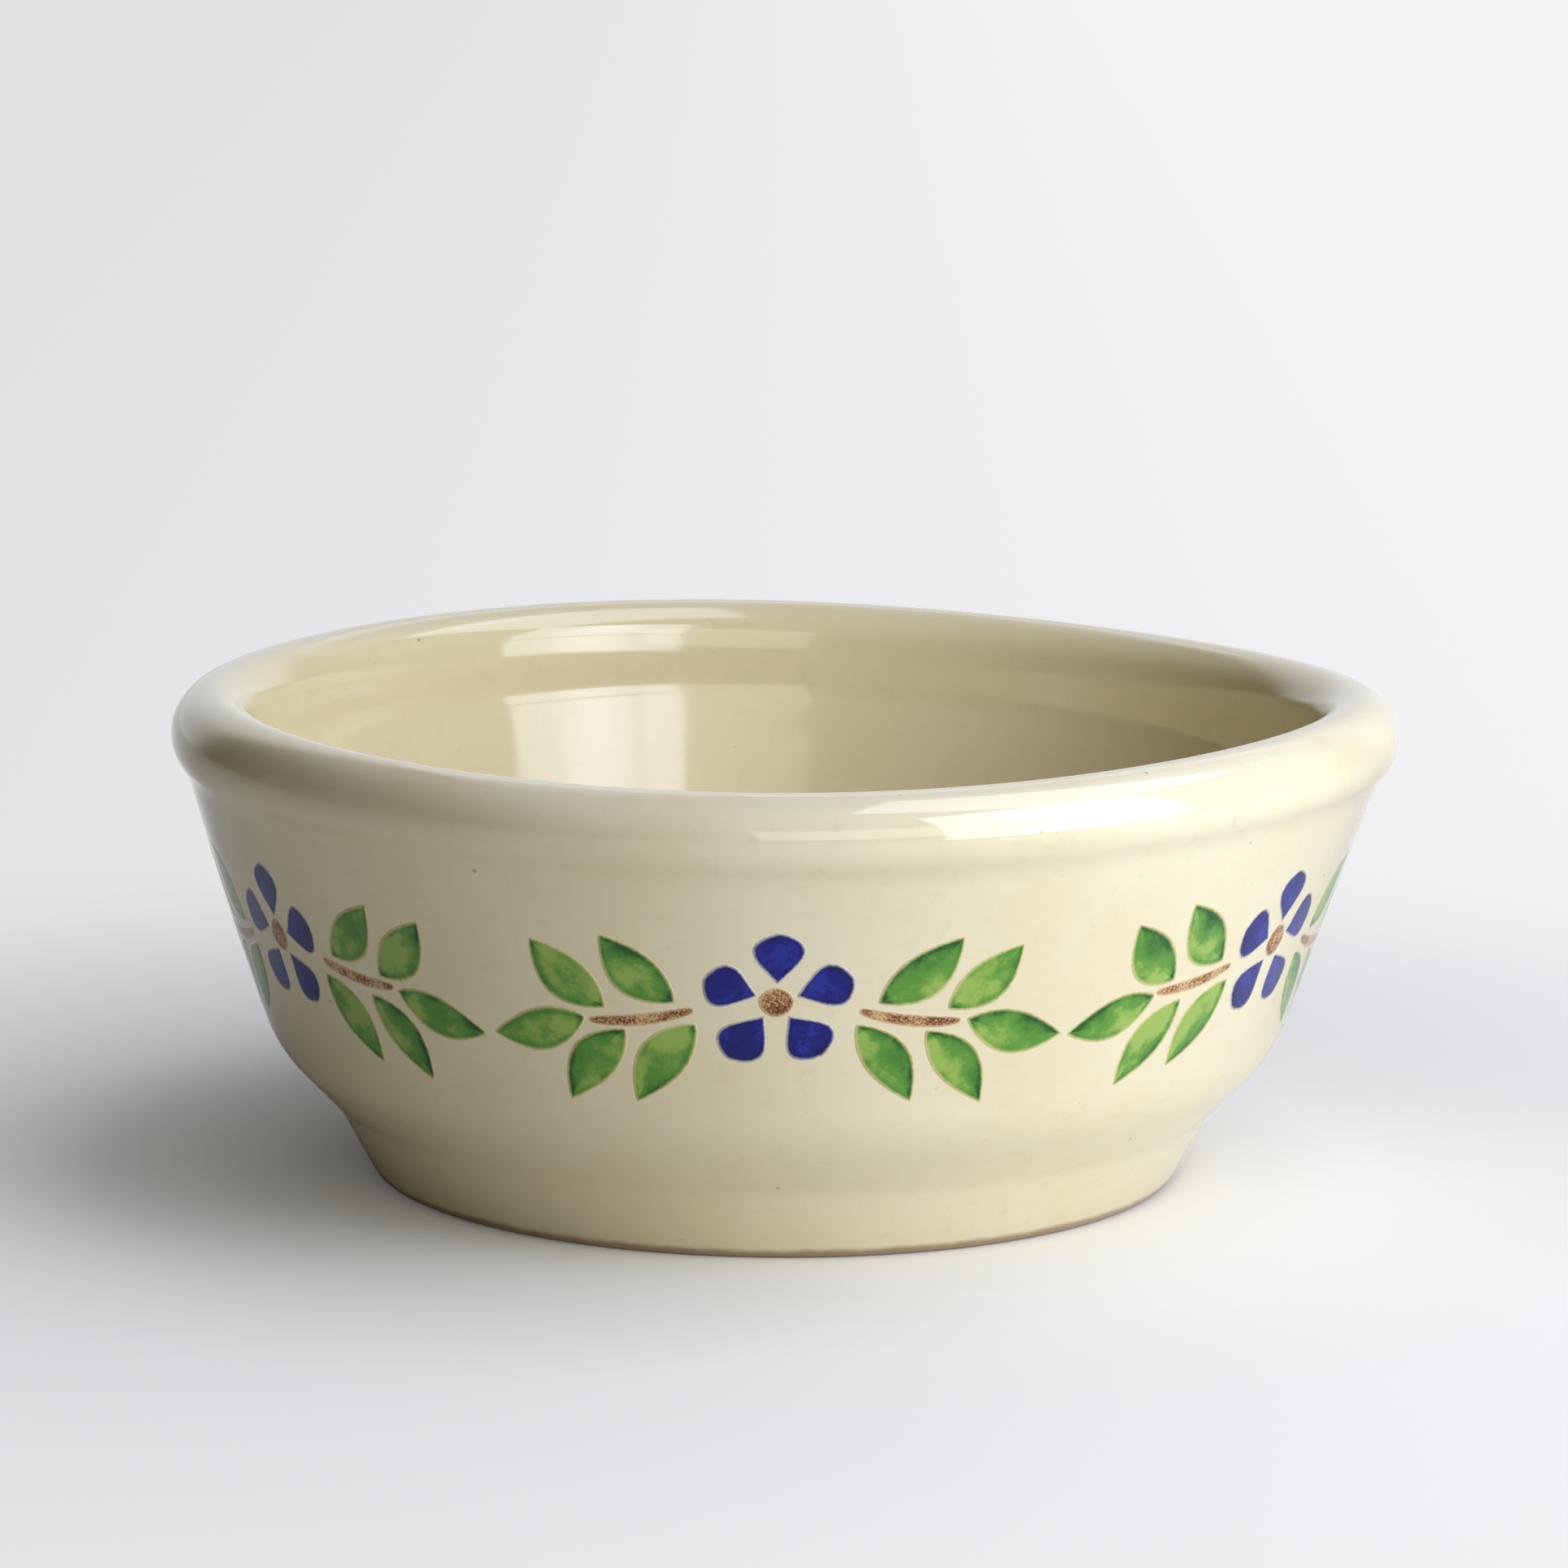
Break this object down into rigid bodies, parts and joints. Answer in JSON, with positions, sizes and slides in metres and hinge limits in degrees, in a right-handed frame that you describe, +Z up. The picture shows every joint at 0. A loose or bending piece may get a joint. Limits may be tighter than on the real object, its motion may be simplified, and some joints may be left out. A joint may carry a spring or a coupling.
{
  "type": "ramekin",
  "caption": "Round stoneware ramekin with a rolled rim, flared wall, waisted foot, cream glaze and a painted garland; holds single baked portions.",
  "frame": {"origin": "middle of the foot, on the table", "axes": "+Z up along the turning axis; one painted flower faces -Y, the front"},
  "size_m": [0.114, 0.114, 0.045],
  "materials": {
    "bare_clay": "bare fired stoneware, fine grained and matt",
    "cream_glaze": "glossy cream glaze with fine iron specks",
    "leaf_green": "glossy brushed green, darker at the edge",
    "petal_blue": "glossy brushed cobalt blue",
    "centre_brown": "glossy brown dab",
    "stem_brown": "grainy brown crayon line under gloss"
  },
  "bodies": {
    "root": {"stoneware_body": "bare_clay", "glaze_coat": "cream_glaze", "painted_leaves": "leaf_green", "painted_petals": "petal_blue", "painted_centres": "centre_brown", "painted_stems": "stem_brown"}
  },
  "joints": []
}
